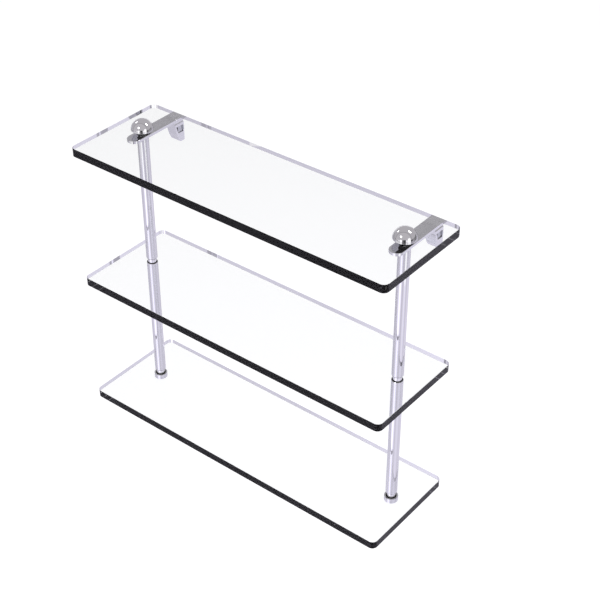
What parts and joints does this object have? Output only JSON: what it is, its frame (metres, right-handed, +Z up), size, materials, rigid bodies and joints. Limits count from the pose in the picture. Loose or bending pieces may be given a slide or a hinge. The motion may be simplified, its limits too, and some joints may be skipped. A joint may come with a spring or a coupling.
{
  "type": "tiered glass shelf",
  "caption": "Wall-hung shelf of glass tiers held one under another on round chromed posts, with domed finials and bracket arms to the wall.",
  "frame": {"origin": "on the wall's face, midway between the two wall screw holes", "axes": "+X along the shelves, +Y into the wall, +Z up; the front faces -Y"},
  "size_m": [0.4064, 0.134, 0.3558],
  "materials": {
    "clear_glass": "polished tempered plate with ground arris",
    "chrome_plated_brass": "mirror-polished chrome plate",
    "zinc_plated_steel": "bright zinc plate",
    "brass": "turned, unplated",
    "clear_vinyl": "soft clear moulding"
  },
  "bodies": {
    "root": {"top_shelf": "clear_glass", "top_hole_sleeves": "clear_vinyl", "top_washers": "clear_vinyl", "middle_shelf": "clear_glass", "middle_hole_sleeves": "clear_vinyl", "middle_washers": "clear_vinyl", "bottom_shelf": "clear_glass", "bottom_hole_sleeves": "clear_vinyl", "bottom_washers": "clear_vinyl", "left_finial": "chrome_plated_brass", "left_bracket_arm": "chrome_plated_brass", "left_wall_block": "chrome_plated_brass", "left_upper_post": "chrome_plated_brass", "left_lower_post": "chrome_plated_brass", "left_bottom_cap": "chrome_plated_brass", "left_wall_cleat": "zinc_plated_steel", "left_set_screw": "zinc_plated_steel", "left_top_stud": "zinc_plated_steel", "left_middle_stud": "zinc_plated_steel", "left_bottom_stud": "zinc_plated_steel", "left_upper_post_plugs": "brass", "left_lower_post_plugs": "brass", "right_finial": "chrome_plated_brass", "right_bracket_arm": "chrome_plated_brass", "right_wall_block": "chrome_plated_brass", "right_upper_post": "chrome_plated_brass", "right_lower_post": "chrome_plated_brass", "right_bottom_cap": "chrome_plated_brass", "right_wall_cleat": "zinc_plated_steel", "right_set_screw": "zinc_plated_steel", "right_top_stud": "zinc_plated_steel", "right_middle_stud": "zinc_plated_steel", "right_bottom_stud": "zinc_plated_steel", "right_upper_post_plugs": "brass", "right_lower_post_plugs": "brass"}
  },
  "joints": []
}
